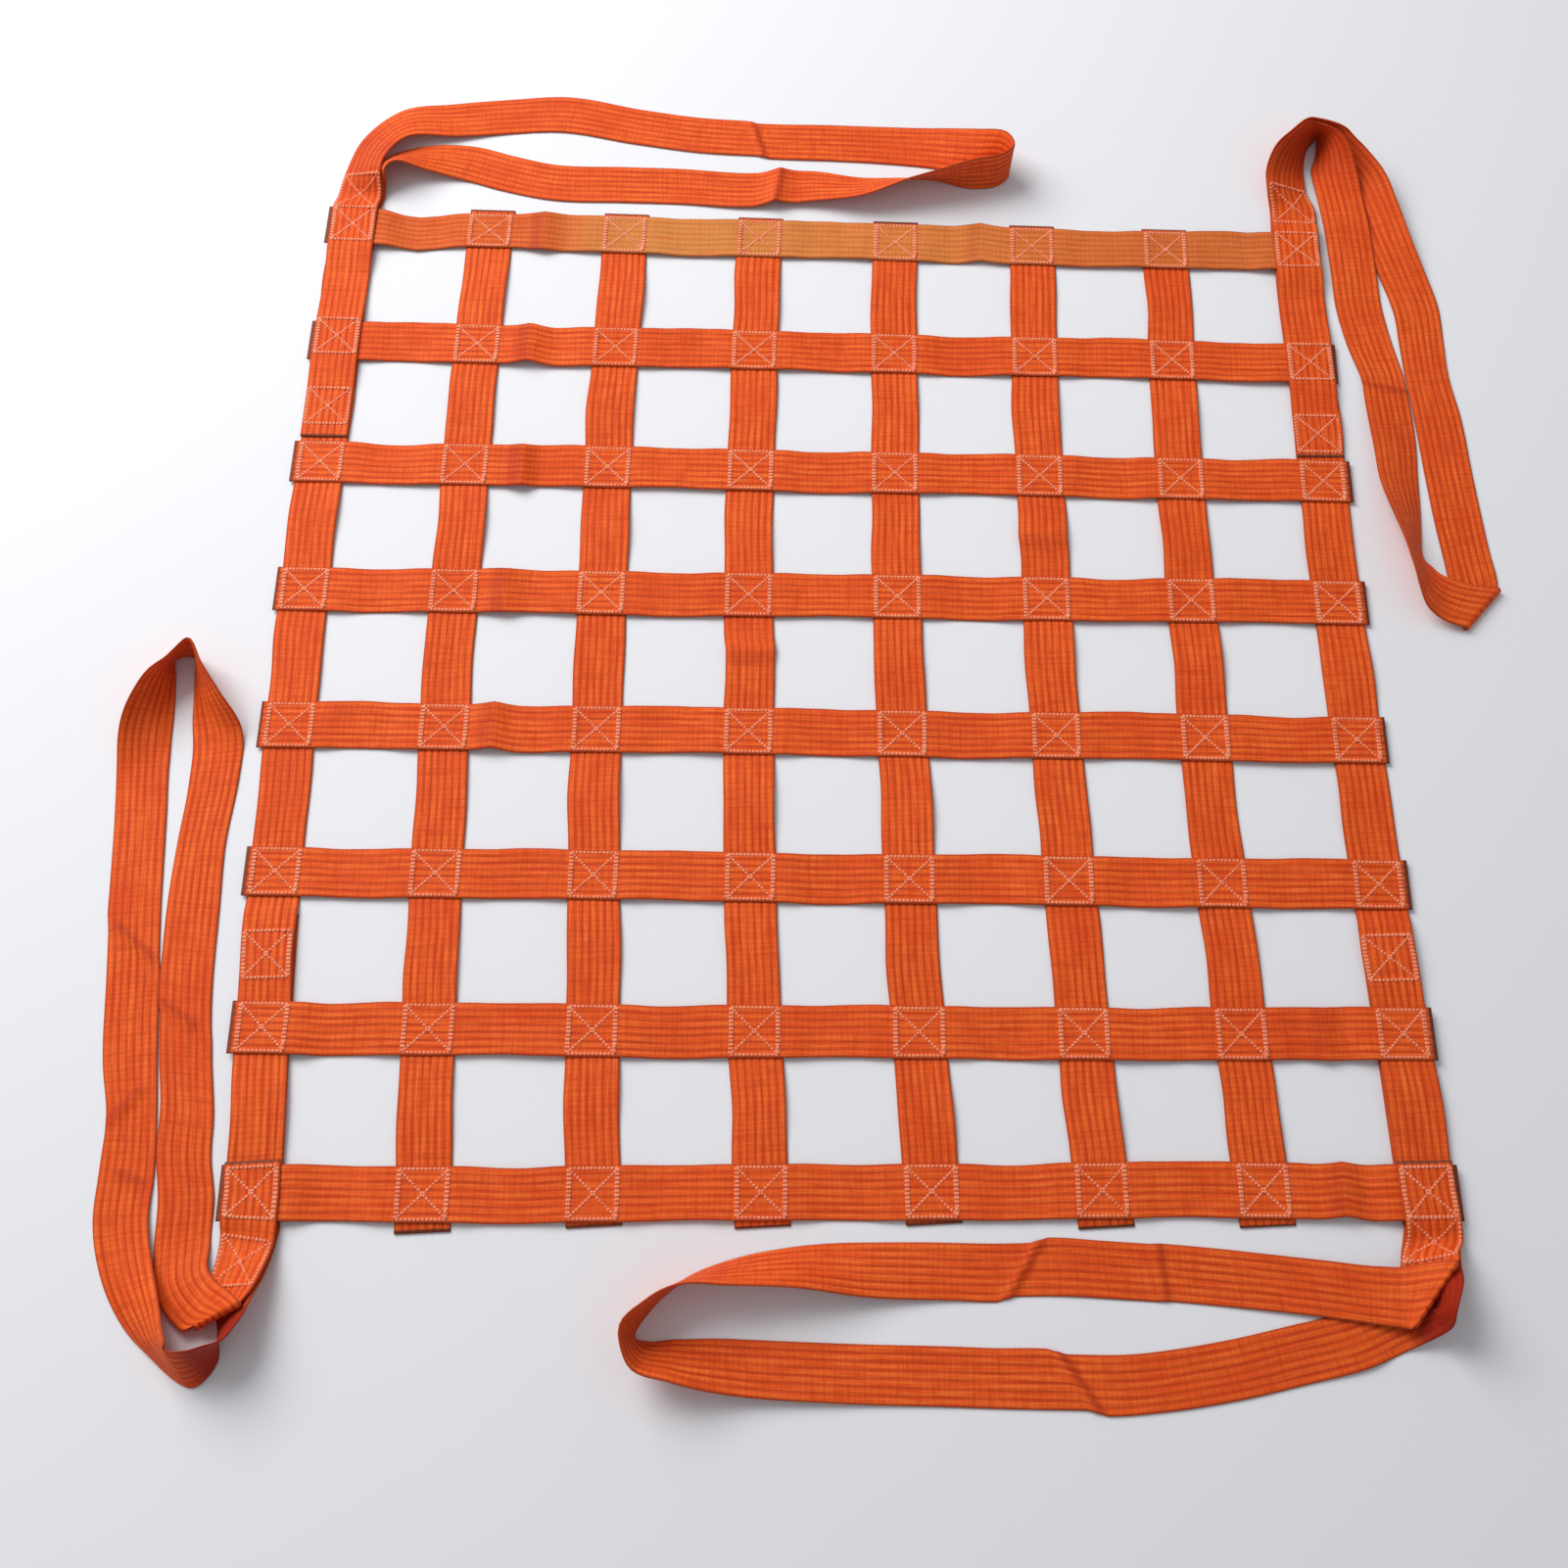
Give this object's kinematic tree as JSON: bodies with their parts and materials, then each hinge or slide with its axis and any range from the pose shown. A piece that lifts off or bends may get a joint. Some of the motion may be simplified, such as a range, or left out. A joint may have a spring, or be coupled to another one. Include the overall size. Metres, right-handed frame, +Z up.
{
  "type": "cargo lifting net",
  "caption": "Square webbing cargo lifting net laid flat, with a long sewn lifting loop at each corner.",
  "frame": {"origin": "on the floor under the middle of the outline of the spread net with its loops", "axes": "+Z up; +X along the cross straps; +Y along the long straps, away from the near side"},
  "size_m": [1.3808, 1.4404, 0.0501],
  "materials": {
    "webbing": "orange polyester webbing with lengthwise ribs, matt with a slight sheen",
    "thread": "pale heavy sewing thread in box and cross seams"
  },
  "bodies": {
    "root": {"long_strap_1": "webbing", "long_strap_2": "webbing", "long_strap_3": "webbing", "long_strap_4": "webbing", "long_strap_5": "webbing", "long_strap_6": "webbing", "long_strap_7": "webbing", "long_strap_8": "webbing", "cross_strap_1": "webbing", "cross_strap_2": "webbing", "cross_strap_3": "webbing", "cross_strap_4": "webbing", "cross_strap_5": "webbing", "cross_strap_6": "webbing", "cross_strap_7": "webbing", "cross_strap_8": "webbing", "loop_far_left": "webbing", "loop_far_right": "webbing", "loop_near_left": "webbing", "loop_near_right": "webbing"}
  },
  "joints": []
}
